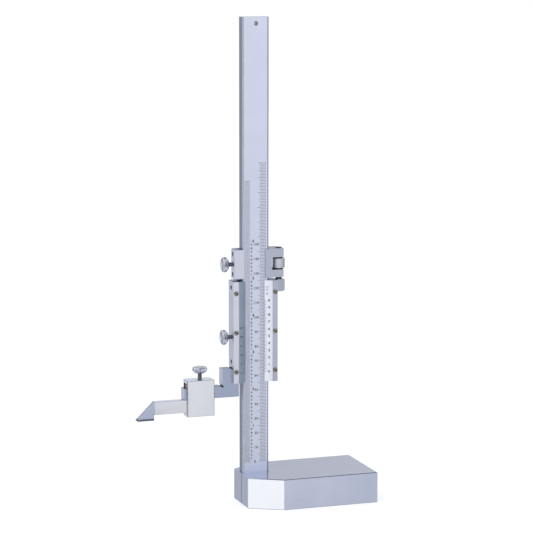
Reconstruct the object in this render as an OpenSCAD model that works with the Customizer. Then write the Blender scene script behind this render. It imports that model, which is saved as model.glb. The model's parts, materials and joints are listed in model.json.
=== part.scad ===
// Vernier height gauge for 0 to 150 mm and 0 to 6 inches, standing at its reading.
// X runs along the base, Y from front to back and Z up from the sole.
// The origin is the middle of the base's underside. All sizes are in millimetres.
// at_beam() moves to the beam: X from its middle line, Y from its front face.

/* [Base] */
// Length of the base, along X
base_l = 89.5; // [80:0.5:130]
// Width of the base, from front to back
base_w = 55; // [48:0.5:80]
// Height of the base
base_h = 21.2; // [16:0.1:21.2]
// Length of the two cut corners at the beam's end, along X
corner_l = 21.9; // [10:0.1:30]
// Width of the two cut corners, along Y
corner_w = 12.5; // [6:0.1:16]
// Edge break around the top and the sole
base_edge = 0.4; // [0.2:0.1:1]
// Wall between the base's left face and the beam's pocket
pocket_wall = 1.1; // [0.8:0.1:4]
// Distance from the base's front face to the beam's front face
beam_setback = 26.3; // [22:0.1:30]
// Width of the wire's slit into the pocket
slit_w = 0.5; // [0.2:0.1:1]
// Radius of the two set screws that hold the beam in its pocket
base_screw_r = 3; // [2:0.25:3.25]
// Length of those set screws
base_screw_l = 11; // [6:1:12]

/* [Beam] */
// Width of the beam
beam_w = 18.5; // [16:0.5:24]
// Thickness of the beam
beam_t = 8; // [7:0.1:10]
// Height of the beam's top end above the sole
beam_top = 331.5; // [280:0.5:400]
// Height of the beam's foot above the sole
beam_foot = 0.5; // [0.2:0.1:2]
// Bevel on the beam's front left edge
bevel_left = 0.9; // [0.3:0.1:2]
// Width of the bevel on the beam's front right edge
bevel_right = 1.8; // [0.5:0.1:2.5]
// Radius of the hole near the top
top_hole_r = 1.5; // [1:0.1:3]
// Distance of that hole below the top end
top_hole_drop = 4.4; // [3.5:0.1:12]

/* [Reading] */
// Height of the scale's zero line above the sole
scale_zero = 28.9; // [28.9:0.1:40]
// Reading at rest, which is the measuring face's height above the sole
reading = 62.5; // [40:0.1:150]
// Distance of the vernier's zero line above the slider's lower end
vernier_start = 6.8; // [4:0.1:7.4]

/* [Slider] */
// Height of the slider
slider_h = 69.5; // [66:0.5:90]
// Distance of the slider's left side from the beam's left side
slider_left = 7.45; // [6.5:0.05:10]
// Distance of the slider's right side from the beam's right side
slider_right = 5.45; // [5:0.05:8]
// Room for the gib between the left wall and the beam
gib_room = 2.85; // [2:0.05:3.5]
// Thickness of the webs behind the beam
web_t = 2.5; // [1.5:0.1:4]
// Width of the bevels on the slider's back edges
back_bevel = 2.4; // [0.5:0.1:2.4]
// Running gap between the beam and each part that slides on it
run_gap = 0.05; // [0.02:0.01:0.1]

/* [Vernier plates] */
// Thickness of the plates
plate_t = 2.75; // [2:0.05:4]
// Width of their flat part, which takes the screws
plate_flat = 3.7; // [3.7:0.05:4.5]
// Thickness of the plates' thin reading edges
plate_edge = 0.2; // [0.1:0.05:0.5]
// How far the left plate reaches over the beam
reach_left = 1.75; // [1:0.05:3]
// How far the right plate reaches over the beam
reach_right = 3.5; // [2:0.05:4.5]
// Distance between neighbouring plate screws
plate_pitch = 26.9; // [20:0.1:27.5]
// Height of the lowest plate screws above the slider's lower end
plate_start = 7.9; // [5:0.1:10]
// Radius of the screws' heads
plate_head_r = 1.5; // [1.2:0.05:1.6]
// Radius of the screws' shanks
plate_shank_r = 0.8; // [0.5:0.05:1]

/* [Arm] */
// Distance of the bracket's left side from the slider's left side
bracket_w = 7.05; // [5:0.05:9]
// Height of the bracket above the slider's lower end
bracket_up = 9.9; // [6:0.1:10.5]
// How far the bracket and arm hang below the slider's lower end
arm_drop = 9.6; // [8:0.1:9.6]
// Length of the arm, from the bracket
arm_l = 27; // [26:0.1:40]
// Height of the arm's section
arm_h = 7.6; // [5:0.1:9]
// Radius of the relief grooves in the bracket's inner corners
relief_r = 0.7; // [0.3:0.1:1]

/* [Scriber] */
// Height of the scriber bar's section
bar_h = 8.7; // [7:0.1:8.8]
// Length of the scriber from its tip
scriber_l = 52; // [48:0.1:52]
// Distance of the bar's rear end from the bracket
scriber_rear = 8.25; // [7:0.05:14]
// Length of the measuring face
face_l = 12; // [8:0.1:13]
// Height of the carbide strip at the measuring face
carbide_h = 1.3; // [0.8:0.1:2]
// Thickness of the bar's working end, flush with its front
nose_t = 5.2; // [4:0.1:7]
// Length of the thinner working end
nose_l = 33; // [25:0.5:33]
// Flat on the tip
tip_flat = 0.3; // [0.1:0.1:1]

/* [Clamp box] */
// Length of the box, along the arm
box_l = 19.2; // [15:0.1:20]
// Distance of the box's right end from the bracket
box_gap = 6.15; // [5.95:0.05:8]
// Thickness of the front and back walls
box_wall = 1.3; // [1:0.1:2.5]
// Thickness of the top wall
box_top_t = 2.2; // [1.5:0.1:4]
// Thickness of the bottom wall
box_bottom_t = 2.9; // [2:0.1:3.9]
// Room above the arm for the pressure pad
pad_room = 3.2; // [3.1:0.1:5]
// Thickness of the pressure pad
pad_t = 2; // [1.5:0.1:2]

/* [Thumb screws] */
// Radius of the heads at their knurled rim
head_r = 5.1; // [4:0.1:6]
// Thickness of the heads
head_t = 4.2; // [3.5:0.1:5.5]
// Width of the knurled rim
rim_w = 1.8; // [1:0.1:2.5]
// Radius of the stems
stem_r = 1.5; // [1.2:0.05:1.8]
// Distance from the slider's side to its lock screw's head
slider_stem = 2.9; // [2:0.1:6]
// Distance from the carriage's side to its lock screw's head
carriage_stem = 3.3; // [2:0.1:6]
// Distance from the clamp box's top to its screw's head
clamp_stem = 4.3; // [2:0.1:6]
// Height of the slider's lock screw above the slider's lower end
slider_lock_up = 31.4; // [30.5:0.1:32]
// Distance of the side screws behind the beam's front face
side_y = 2.7; // [2:0.1:4]

/* [Fine feed carriage] */
// Gap between the slider and the carriage at rest
feed_gap = 1.8; // [1.7:0.1:4]
// Height of the carriage
carriage_h = 19.6; // [18:0.1:24]
// Distance of the carriage's left side from the beam's left side
carriage_left = 6.35; // [5.5:0.05:9]
// Distance of the carriage's right side from the beam's right side
carriage_right = 10.45; // [10.4:0.05:13]
// Thickness of the lips that reach over the beam's front
lip_t = 0.85; // [0.6:0.05:1.5]
// Width of the bevels on the carriage's back edges
carriage_bevel = 2; // [0.5:0.1:2.5]
// Distance of the nut's window from the beam's right side
window_in = 1.95; // [1.5:0.05:3]
// Height of the window above the carriage's lower end
window_up = 5.1; // [4:0.1:6]
// Distance of the feed rod's axis from the beam's right side
rod_in = 7.9; // [7.5:0.05:7.95]
// Distance of the feed rod's axis behind the beam's front face
rod_y = 2.8; // [2.6:0.1:4]
// Radius of the feed rod's thread
rod_r = 2.15; // [1.8:0.05:2.2]
// Radius of the feed nut at its knurl
nut_r = 4.2; // [3.5:0.1:4.4]
// Height of the feed nut
nut_h = 8.1; // [5:0.1:9]
// Play of the nut in its window, at each end
nut_play = 0.2; // [0.1:0.05:0.5]

/* [Feed lug] */
// Width of the lug on the slider's right side
lug_w = 6; // [5:0.1:8]
// Height of the lug
lug_h = 8.2; // [7:0.1:12]
// Thickness of the lug, from front to back
lug_t = 7; // [6:0.1:8]
// Radius of the lug's lower corner
lug_corner = 1.75; // [0.5:0.05:3]
// Radius of the rod's shank in the lug
shank_r = 1.7; // [1.2:0.05:1.7]
// Radius of the cross pin
pin_r = 0.75; // [0.5:0.05:0.9]

/* [Hidden] */
$fn = 64;

// Radial clearance of screws and pins in their holes
fit = 0.05;
// How far a cut runs past the face that it opens
over = 1;
// Play of the beam in its pocket
pocket_play = 0.05;
// Spot faces of the base's set screws: depth over the screw and width around it
base_screw_sink = 0.5;
base_spot = 1.1;

// The beam's place on the base, and its half width
beam_x = -base_l / 2 + pocket_wall + pocket_play + beam_w / 2;
beam_y = -base_w / 2 + beam_setback;
half_w = beam_w / 2;

// Heights of the slider, arm and measuring face
slider_z = scale_zero + reading - vernier_start;
slider_top = slider_z + slider_h;
arm_z = slider_z - arm_drop;
arm_top = arm_z + arm_h;
bracket_top = slider_z + bracket_up;
face_z = reading;

// Planes of the slider's channel, shared by the carriage
front_y = -run_gap;
channel_y = beam_t + run_gap;
wall_left = -half_w - gib_room;
wall_right = half_w + run_gap;
web_y = channel_y + web_t;

// Sides of the slider, bracket and arm
slider_l_x = -half_w - slider_left;
slider_r_x = half_w + slider_right;
bracket_x = slider_l_x - bracket_w;
arm_x = bracket_x - arm_l;

// Vernier plates and their screws
plate_y = front_y - plate_t;
plate_edge_y = front_y - plate_edge;
plate_screw_l_x = slider_l_x + plate_flat / 2;
plate_screw_r_x = slider_r_x - plate_flat / 2;
plate_screw_zs = [for (i = [0:2]) slider_z + plate_start + i * plate_pitch];
plate_sink = 0.4;
plate_head_h = 1.1;
plate_bore_r = plate_head_r + 0.15;
plate_seat_y = plate_y + plate_sink + plate_head_h;
plate_screw_depth = 4;

// Gibs, with the set screws' dimples
gib_seat = 0.2;
gib_l_x = wall_left + gib_seat;
gib_r_x = -half_w - run_gap;
gib_side = 0.1;
gib_short = 1.5;
gib_screw_r = 1.5;
gib_screw_sink = 0.4;
dog_r = 0.75;
dimple = 0.5;
slider_gib_zs = [slider_z + 14.3, slider_top - 4.2];

// Thumb screws: head, pad and slot sizes
head_face_r = head_r - 0.8;
head_edge = 0.7;
head_neck_r = head_r - 1.8;
knurl_teeth = 40;
knurl_depth = 0.25;
cone_over = 0.3;
lock_pad_r = stem_r - 0.1;
lock_pad_l = 1.4;
lock_pad_gap = 0.05;
slider_lock_z = slider_z + slider_lock_up;

// Carriage
carriage_z = slider_top + feed_gap;
carriage_top = carriage_z + carriage_h;
carriage_l_x = -half_w - carriage_left;
carriage_r_x = half_w + carriage_right;
carriage_y = front_y - lip_t;
carriage_side_y = 5.9;
lip_l_x = -half_w + 0.75;
lip_r_x = half_w - 2.55;
carriage_edge = 0.5;
carriage_lock_z = carriage_z + carriage_h / 2 - 0.1;
carriage_gib_zs = [carriage_z + 2.9, carriage_top - 2.9];
carriage_gib_short = 0.8;

// Feed rod, nut and lug
rod_x = half_w + rod_in;
rod_above = 0.6;
rod_chamfer = 0.4;
shank_l = lug_h - 0.8;
window_x = half_w + window_in;
window_z = carriage_z + window_up;
window_h = nut_h + 2 * nut_play;
nut_chamfer = 0.8;
nut_teeth = 36;
lug_r_x = slider_r_x + lug_w;
lug_z = slider_top - lug_h;
pin_z = slider_top - lug_h / 2;
pin_sink = 0.3;

// Clamp box, pad and scriber
box_play = 0.1;
slide_gap = 0.03;
box_r_x = bracket_x - box_gap;
box_l_x = box_r_x - box_l;
box_front_y = front_y - box_play - box_wall;
box_back_y = beam_t + box_play + box_wall;
box_back_cut = 1.5;
box_front_cut = 0.3;
bar_top = arm_z - slide_gap;
bar_z = bar_top - bar_h;
box_floor = bar_z - slide_gap;
box_z = box_floor - box_bottom_t;
box_ceiling = arm_top + pad_room;
box_top = box_ceiling + box_top_t;
clamp_x = (box_l_x + box_r_x) / 2 + 0.8;
clamp_y = beam_t / 2;
pad_z = arm_top + 0.02;
pad_inset = 0.7;
pad_pocket = 0.8;
scriber_r_x = bracket_x - scriber_rear;
tip_x = scriber_r_x - scriber_l;
step_x = tip_x + face_l;
slope_top_x = tip_x + bar_top - face_z;
shoulder_x = tip_x + nose_l;

// Moves to the beam
module at_beam() {
    translate([beam_x, beam_y, 0]) children();
}

// Upright prism of a plan outline, between two heights
module upright(outline, z1, z2) {
    translate([0, 0, z1]) linear_extrude(z2 - z1) polygon(outline);
}

// Prism of an outline seen from the front, between two depths
module facing(outline, y1, y2) {
    translate([0, y2, 0]) rotate([90, 0, 0]) linear_extrude(y2 - y1) polygon(outline);
}

// Box between two corners
module block(low, high) {
    translate(low) cube(high - low);
}

// Rods along each axis, from a start point
module round_x(at, r, l) {
    translate(at) rotate([0, 90, 0]) cylinder(r = r, h = l);
}

module round_y(at, r, l) {
    translate(at) rotate([-90, 0, 0]) cylinder(r = r, h = l);
}

module round_z(at, r, l) {
    translate(at) cylinder(r = r, h = l);
}

// Outline of a straight knurl
function knurl(r, depth, teeth) = [
    for (i = [0:2 * teeth - 1])
        let (a = 180 * i / teeth, rr = i % 2 == 0 ? r : r - depth)
            [rr * cos(a), rr * sin(a)]
];

// Plan of the base, with its two cut corners at the left
base_plan = [
    [-base_l / 2, -base_w / 2 + corner_w],
    [-base_l / 2 + corner_l, -base_w / 2],
    [base_l / 2, -base_w / 2],
    [base_l / 2, base_w / 2],
    [-base_l / 2 + corner_l, base_w / 2],
    [-base_l / 2, base_w / 2 - corner_w]
];

base_screw_x = beam_w / 6;
base_screw_zs = [0.3 * base_h, 0.7 * base_h];
base_screw_end = beam_t + base_screw_l;

module base_block() {
    color([0.74, 0.75, 0.78])
    difference() {
        hull() {
            upright(base_plan, base_edge, base_h - base_edge);
            linear_extrude(base_h) offset(delta = -base_edge) polygon(base_plan);
        }
        at_beam() {
            block([-half_w - pocket_play, 0, -over],
                  [half_w + pocket_play, beam_t + pocket_play, base_h + over]);
            block([-half_w - pocket_play - pocket_wall - over, 0, -over],
                  [-half_w, slit_w, base_h + over]);
            for (z = base_screw_zs) {
                round_y([base_screw_x, beam_t, z], base_screw_r + fit, base_w);
                round_y([base_screw_x, base_screw_end + base_screw_sink, z],
                        base_screw_r + base_spot, base_w);
            }
        }
    }
}

module beam() {
    back = 0.4;
    plan = [
        [-half_w, bevel_left], [-half_w + bevel_left, 0],
        [half_w - bevel_right, 0], [half_w, bevel_right / 2],
        [half_w, beam_t - back], [half_w - back, beam_t],
        [-half_w + back, beam_t], [-half_w, beam_t - back]
    ];
    color([0.70, 0.73, 0.80])
    at_beam() difference() {
        upright(plan, beam_foot, beam_top);
        round_y([0, -over, beam_top - top_hole_drop], top_hole_r, beam_t + 2 * over);
    }
}

module base_clamp_screws() {
    socket_r = base_screw_r * 0.55;
    socket_d = base_screw_r;
    color([0.25, 0.25, 0.27])
    at_beam() for (z = base_screw_zs)
        difference() {
            round_y([base_screw_x, beam_t, z], base_screw_r, base_screw_l);
            translate([base_screw_x, base_screw_end - socket_d, z])
                rotate([-90, 0, 0]) cylinder(r = socket_r, h = socket_d + over, $fn = 6);
        }
}

// Set screw in a left wall, from its slotted end to its dog point in the gib
module gib_screw(side_x, z) {
    start = side_x + gib_screw_sink;
    slot = [0.7, 2 * gib_screw_r + 2 * over, 0.5];
    difference() {
        union() {
            round_x([start, side_y, z], gib_screw_r, wall_left - start);
            round_x([start, side_y, z], dog_r, gib_l_x + dimple - fit - start);
        }
        translate([start - over, side_y - slot[1] / 2, z - slot[2] / 2])
            cube([slot[0] + over, slot[1], slot[2]]);
    }
}

// Gib strip between the left wall and the beam, with its set screws' dimples
module gib(z1, z2, screw_zs) {
    difference() {
        block([gib_l_x, gib_side, z1], [gib_r_x, beam_t - gib_side, z2]);
        for (z = screw_zs)
            round_x([gib_l_x - over, side_y, z], dog_r + fit, over + dimple);
    }
}

// Thumb screw, its head's face at 0 and its stem along +Z
module thumb_screw(stem_l) {
    // Both cones run on past the knurl, which cuts them off
    front = (head_r - head_face_r) / head_edge;
    back = (head_r - head_neck_r) / (head_t - head_edge - rim_w);
    half = [
        [0, 0], [head_face_r, 0],
        [head_r + cone_over, head_edge + cone_over / front],
        [head_r + cone_over, head_edge + rim_w - cone_over / back],
        [head_neck_r, head_t], [0, head_t]
    ];
    intersection() {
        rotate_extrude() polygon(half);
        linear_extrude(head_t) polygon(knurl(head_r, knurl_depth, knurl_teeth));
    }
    translate([0, 0, head_t]) cylinder(r = stem_r, h = stem_l);
}

// Lock screw through a left wall, with its head clear of the side
module side_lock_screw(side_x, stand, z) {
    start = side_x - stand - head_t;
    end = gib_l_x - lock_pad_gap - lock_pad_l - lock_pad_gap;
    translate([start, side_y, z]) rotate([0, 90, 0])
        thumb_screw(end - start - head_t);
}

module lock_pad(z) {
    round_x([gib_l_x - lock_pad_gap - lock_pad_l, side_y, z], lock_pad_r, lock_pad_l);
}

// Channel-shaped slider, open at the front, with bevelled back edges
slider_plan = [
    [slider_l_x, front_y], [wall_left, front_y],
    [wall_left, channel_y], [wall_right, channel_y],
    [wall_right, front_y], [slider_r_x, front_y],
    [slider_r_x, web_y - back_bevel], [slider_r_x - back_bevel, web_y],
    [slider_l_x + back_bevel, web_y], [slider_l_x, web_y - back_bevel]
];

// Bracket and arm, seen from the front
arm_front = [
    [wall_left, arm_z], [wall_left, bracket_top], [bracket_x, bracket_top],
    [bracket_x, arm_top], [arm_x, arm_top],
    [arm_x, arm_z + relief_r], [arm_x + relief_r, arm_z]
];

module lug() {
    difference() {
        translate([0, front_y + lug_t, 0]) rotate([90, 0, 0]) linear_extrude(lug_t) {
            translate([slider_r_x - over, lug_z])
                square([lug_w + over - lug_corner, lug_h]);
            translate([slider_r_x, lug_z + lug_corner])
                square([lug_w, lug_h - lug_corner]);
            translate([lug_r_x - lug_corner, lug_z + lug_corner])
                circle(lug_corner);
        }
        round_z([rod_x, rod_y, slider_top - shank_l], shank_r + fit, shank_l + over);
        round_x([slider_r_x + pin_sink, rod_y, pin_z], pin_r + fit, lug_w + over);
    }
}

module slider_frame() {
    color([0.72, 0.74, 0.80])
    at_beam() difference() {
        union() {
            upright(slider_plan, slider_z, slider_top);
            facing(arm_front, front_y, beam_t);
            lug();
        }
        for (c = [[bracket_x, arm_top], [slider_l_x, bracket_top]])
            round_y([c[0], -over, c[1]], relief_r, web_y + 2 * over);
        for (x = [plate_screw_l_x, plate_screw_r_x], z = plate_screw_zs)
            round_y([x, -over, z], plate_shank_r + fit, plate_screw_depth + over + fit);
        for (z = slider_gib_zs)
            round_x([slider_l_x - over, side_y, z], gib_screw_r + fit, slider_left);
        round_x([slider_l_x - over, side_y, slider_lock_z], stem_r + fit, slider_left);
    }
}

// Vernier plate between its outer side and its thin reading edge
module vernier_plate(outer_x, flat_x, edge_x, screw_x) {
    difference() {
        upright([
            [outer_x, front_y], [edge_x, front_y], [edge_x, plate_edge_y],
            [flat_x, plate_y], [outer_x, plate_y]
        ], slider_z, slider_top);
        for (z = plate_screw_zs) {
            round_y([screw_x, plate_y - over, z], plate_bore_r,
                  over + plate_sink + plate_head_h);
            round_y([screw_x, plate_y, z], plate_shank_r + fit, plate_t + over);
        }
    }
}

module vernier_plate_mm() {
    color([0.93, 0.93, 0.95])
    at_beam() vernier_plate(slider_r_x, slider_r_x - plate_flat, half_w - reach_right,
                            plate_screw_r_x);
}

module vernier_plate_inch() {
    color([0.62, 0.66, 0.74])
    at_beam() vernier_plate(slider_l_x, slider_l_x + plate_flat, -half_w + reach_left,
                            plate_screw_l_x);
}

module vernier_plate_screws() {
    slot = [2 * plate_head_r + 2 * over, 0.5, 0.5];
    color([0.62, 0.58, 0.50])
    at_beam() for (x = [plate_screw_l_x, plate_screw_r_x], z = plate_screw_zs)
        difference() {
            union() {
                round_y([x, plate_y + plate_sink, z], plate_head_r, plate_head_h);
                round_y([x, plate_seat_y, z], plate_shank_r,
                      plate_screw_depth - plate_seat_y);
            }
            translate([x, plate_y + plate_sink, z]) rotate([0, 30, 0])
                cube([slot[0], 2 * slot[1], slot[2]], center = true);
        }
}

module slider_gib() {
    color([0.45, 0.47, 0.52])
    at_beam() gib(slider_z + gib_short, slider_top - gib_short, slider_gib_zs);
}

module slider_gib_screws() {
    color([0.25, 0.27, 0.30])
    at_beam() for (z = slider_gib_zs) gib_screw(slider_l_x, z);
}

module slider_lock_pad() {
    color([0.72, 0.55, 0.28])
    at_beam() lock_pad(slider_lock_z);
}

module slider_lock_screw() {
    color([0.80, 0.81, 0.84])
    at_beam() side_lock_screw(slider_l_x, slider_stem, slider_lock_z);
}

module feed_rod() {
    top = carriage_top + rod_above;
    color([0.30, 0.31, 0.35])
    at_beam() difference() {
        translate([rod_x, rod_y, 0]) rotate_extrude() polygon([
            [0, slider_top - shank_l + fit], [shank_r, slider_top - shank_l + fit],
            [shank_r, slider_top], [rod_r, slider_top],
            [rod_r, top - rod_chamfer], [rod_r - rod_chamfer, top], [0, top]
        ]);
        round_x([rod_x - nut_r, rod_y, pin_z], pin_r + fit, 2 * nut_r);
    }
}

module feed_rod_pin() {
    start = slider_r_x + pin_sink + fit;
    color([0.45, 0.46, 0.50])
    at_beam() round_x([start, rod_y, pin_z], pin_r, lug_r_x - pin_sink - start);
}

// Carriage: a channel with thin lips over the beam's front edges
carriage_plan = [
    [carriage_l_x, carriage_y], [lip_l_x, carriage_y],
    [lip_l_x, front_y], [wall_left, front_y],
    [wall_left, channel_y], [wall_right, channel_y],
    [wall_right, front_y], [lip_r_x, front_y],
    [lip_r_x, carriage_y], [carriage_r_x - carriage_edge, carriage_y],
    [carriage_r_x, carriage_y + carriage_edge], [carriage_r_x, carriage_side_y],
    [carriage_r_x - carriage_bevel, carriage_side_y + carriage_bevel],
    [carriage_r_x - carriage_bevel, web_y], [carriage_l_x + carriage_bevel, web_y],
    [carriage_l_x + carriage_bevel, carriage_side_y + carriage_bevel],
    [carriage_l_x, carriage_side_y]
];

module carriage_frame() {
    color([0.70, 0.70, 0.76])
    at_beam() difference() {
        upright(carriage_plan, carriage_z, carriage_top);
        block([window_x, carriage_y - over, window_z],
              [carriage_r_x + over, web_y + over, window_z + window_h]);
        round_z([rod_x, rod_y, carriage_z - over], rod_r + fit, carriage_h + 2 * over);
        for (z = carriage_gib_zs)
            round_x([carriage_l_x - over, side_y, z], gib_screw_r + fit, carriage_left);
        round_x([carriage_l_x - over, side_y, carriage_lock_z], stem_r + fit,
              carriage_left);
    }
}

module carriage_gib() {
    color([0.45, 0.47, 0.52])
    at_beam() gib(carriage_z + carriage_gib_short, carriage_top - carriage_gib_short,
                  carriage_gib_zs);
}

module carriage_gib_screws() {
    color([0.25, 0.27, 0.30])
    at_beam() for (z = carriage_gib_zs) gib_screw(carriage_l_x, z);
}

module carriage_lock_pad() {
    color([0.72, 0.55, 0.28])
    at_beam() lock_pad(carriage_lock_z);
}

module carriage_lock_screw() {
    color([0.80, 0.81, 0.84])
    at_beam() side_lock_screw(carriage_l_x, carriage_stem, carriage_lock_z);
}

module feed_nut() {
    half = [
        [rod_r + fit, 0], [nut_r - nut_chamfer, 0],
        [nut_r + cone_over, nut_chamfer + cone_over],
        [nut_r + cone_over, nut_h - nut_chamfer - cone_over],
        [nut_r - nut_chamfer, nut_h], [rod_r + fit, nut_h]
    ];
    color([0.75, 0.75, 0.76])
    at_beam() translate([rod_x, rod_y, window_z + nut_play])
        intersection() {
            rotate_extrude() polygon(half);
            linear_extrude(nut_h) polygon(knurl(nut_r, knurl_depth, nut_teeth));
        }
}

// Sleeve round the arm and the scriber, open at both ends
module clamp_box() {
    plan = [
        [box_l_x + box_front_cut, box_front_y], [box_r_x - box_front_cut, box_front_y],
        [box_r_x, box_front_y + box_front_cut], [box_r_x, box_back_y - box_back_cut],
        [box_r_x - box_back_cut, box_back_y], [box_l_x + box_back_cut, box_back_y],
        [box_l_x, box_back_y - box_back_cut], [box_l_x, box_front_y + box_front_cut]
    ];
    color([0.86, 0.86, 0.88])
    at_beam() difference() {
        upright(plan, box_z, box_top);
        block([box_l_x - over, box_front_y + box_wall, box_floor],
              [box_r_x + over, box_back_y - box_wall, box_ceiling]);
        round_z([clamp_x, clamp_y, box_ceiling - over], stem_r + fit,
              box_top_t + 2 * over);
    }
}

module clamp_screw() {
    head_z = box_top + clamp_stem + head_t;
    stem_end = pad_z + pad_t - pad_pocket + fit;
    color([0.80, 0.81, 0.84])
    at_beam() translate([clamp_x, clamp_y, head_z]) rotate([180, 0, 0])
        thumb_screw(head_z - head_t - stem_end);
}

module pressure_pad() {
    color([0.68, 0.45, 0.28])
    at_beam() difference() {
        block([box_l_x + pad_inset, pad_inset, pad_z],
              [box_r_x - pad_inset, beam_t - pad_inset, pad_z + pad_t]);
        round_z([clamp_x, clamp_y, pad_z + pad_t - pad_pocket], stem_r + fit,
              pad_pocket + over);
    }
}

// Plan of the scriber, stepped at the back to its thinner working end
scriber_plan = [
    [scriber_r_x, 0], [scriber_r_x, beam_t], [shoulder_x, beam_t],
    [shoulder_x, nose_t], [tip_x, nose_t], [tip_x, 0]
];

module scriber_bar() {
    carbide_top = face_z + carbide_h;
    color([0.84, 0.84, 0.86])
    at_beam() intersection() {
        facing([
            [scriber_r_x, bar_z], [scriber_r_x, bar_top], [slope_top_x, bar_top],
            [tip_x + carbide_h, carbide_top], [step_x, carbide_top], [step_x, bar_z]
        ], 0, beam_t);
        upright(scriber_plan, carbide_top, bar_top);
    }
}

module carbide_tip() {
    carbide_top = face_z + carbide_h;
    color([0.35, 0.36, 0.40])
    at_beam() intersection() {
        facing([
            [step_x, face_z], [step_x, carbide_top], [tip_x + carbide_h, carbide_top],
            [tip_x + tip_flat, face_z + tip_flat], [tip_x + tip_flat, face_z]
        ], 0, beam_t);
        upright(scriber_plan, face_z, carbide_top);
    }
}

base_block();
beam();
base_clamp_screws();
slider_frame();
vernier_plate_mm();
vernier_plate_inch();
vernier_plate_screws();
slider_gib();
slider_gib_screws();
slider_lock_pad();
slider_lock_screw();
feed_rod();
feed_rod_pin();
carriage_frame();
carriage_gib();
carriage_gib_screws();
carriage_lock_pad();
carriage_lock_screw();
feed_nut();
clamp_box();
clamp_screw();
pressure_pad();
scriber_bar();
carbide_tip();
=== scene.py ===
import json
import math
import bmesh
import bpy
from mathutils import Matrix, Vector

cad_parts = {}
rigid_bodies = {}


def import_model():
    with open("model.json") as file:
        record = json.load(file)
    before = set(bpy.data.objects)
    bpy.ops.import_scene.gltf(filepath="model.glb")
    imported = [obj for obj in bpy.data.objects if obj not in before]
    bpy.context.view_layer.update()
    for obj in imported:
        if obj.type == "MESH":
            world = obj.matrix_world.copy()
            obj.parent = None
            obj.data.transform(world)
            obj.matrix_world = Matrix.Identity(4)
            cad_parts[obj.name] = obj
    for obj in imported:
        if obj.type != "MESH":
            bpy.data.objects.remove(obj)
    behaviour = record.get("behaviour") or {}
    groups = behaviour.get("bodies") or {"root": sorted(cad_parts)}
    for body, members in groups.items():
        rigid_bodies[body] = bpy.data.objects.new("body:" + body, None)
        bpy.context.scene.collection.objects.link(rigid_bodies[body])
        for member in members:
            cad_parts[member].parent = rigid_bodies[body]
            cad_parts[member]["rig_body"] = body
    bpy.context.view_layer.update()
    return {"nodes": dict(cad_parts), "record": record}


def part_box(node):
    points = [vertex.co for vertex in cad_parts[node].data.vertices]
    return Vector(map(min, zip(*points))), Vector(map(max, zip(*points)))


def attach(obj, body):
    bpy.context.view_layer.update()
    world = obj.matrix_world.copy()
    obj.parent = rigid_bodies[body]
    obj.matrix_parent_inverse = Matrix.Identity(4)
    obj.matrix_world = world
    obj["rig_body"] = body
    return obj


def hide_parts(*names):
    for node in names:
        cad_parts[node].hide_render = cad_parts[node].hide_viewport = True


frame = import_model()
nodes = frame["nodes"]
slotOf = {part["node"]: part["material_slot"] for part in frame["record"]["subparts"]}
scene = bpy.context.scene
mm = 0.001  # sizes below are in millimetres, Blender's in metres
weld = 1e-7  # in metres: points closer than this are one
square, sloped, slight = 0.9, 0.25, 0.05  # how much of a normal lies along an axis

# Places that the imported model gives
beamLow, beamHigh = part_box("beam")
beamMidX = (beamLow.x + beamHigh.x) / 2
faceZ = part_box("carbide_tip")[0].z  # the measuring face's height is the reading


# Hand tools
def activate(piece):
    bpy.ops.object.select_all(action="DESELECT")
    piece.select_set(True)
    bpy.context.view_layer.objects.active = piece


def named(piece, name):
    piece.name = piece.data.name = name
    return piece


def copyOf(piece, name):
    twin = bpy.data.objects.new(name, piece.data.copy())
    scene.collection.objects.link(twin)
    return named(twin, name)


def joined(pieces, name):
    activate(pieces[0])
    for other in pieces[1:]:
        other.select_set(True)
    bpy.ops.object.join()
    return named(bpy.context.object, name)


def finishWith(piece, kind, **settings):
    activate(piece)
    modifier = piece.modifiers.new(kind.title(), kind)
    for key, value in settings.items():
        setattr(modifier, key, value)
    bpy.ops.object.modifier_apply(modifier=modifier.name)


def smooth(piece, degrees):
    activate(piece)
    bpy.ops.object.shade_smooth_by_angle(angle=math.radians(degrees))


def edit(piece, mode="FACE"):
    activate(piece)
    bpy.ops.object.mode_set(mode="EDIT")
    bpy.ops.mesh.select_mode(type=mode)
    bpy.ops.mesh.select_all(action="DESELECT")


def editAll(piece):
    edit(piece, "VERT")
    bpy.ops.mesh.select_all(action="SELECT")


def done():
    bpy.ops.object.mode_set(mode="OBJECT")


def pickFaces(piece, wanted, slot=None):  # by middle and normal, in one slot or in all
    mesh = bmesh.from_edit_mesh(piece.data)
    for face in mesh.faces:
        inSlot = slot is None or face.material_index == slot
        face.select_set(bool(inSlot and wanted(face.calc_center_median(), face.normal)))
    mesh.select_flush_mode()
    bmesh.update_edit_mesh(piece.data)


def pickPoints(piece, wanted):
    mesh = bmesh.from_edit_mesh(piece.data)
    for point in mesh.verts:
        point.select_set(bool(wanted(point.co)))
    mesh.select_flush_mode()
    bmesh.update_edit_mesh(piece.data)


def resizeRound(factor):  # scales what is picked about the Z axis
    bpy.ops.transform.resize(value=(factor, factor, 1), center_override=(0, 0, 0))


def push(height, factor):  # extrudes what is picked along Z, then scales it
    bpy.ops.mesh.extrude_region_move(TRANSFORM_OT_translate={"value": (0, 0, height)})
    resizeRound(factor)


def tidyMesh(piece):
    editAll(piece)
    bpy.ops.mesh.remove_doubles(threshold=weld)
    bpy.ops.mesh.fill_holes(sides=0)
    bpy.ops.mesh.normals_make_consistent(inside=False)
    done()


def openCopy(node, name):  # its loose triangles merged and picked, still in edit mode
    piece = copyOf(nodes[node], name)
    editAll(piece)
    bpy.ops.mesh.remove_doubles(threshold=weld)
    return piece


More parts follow.
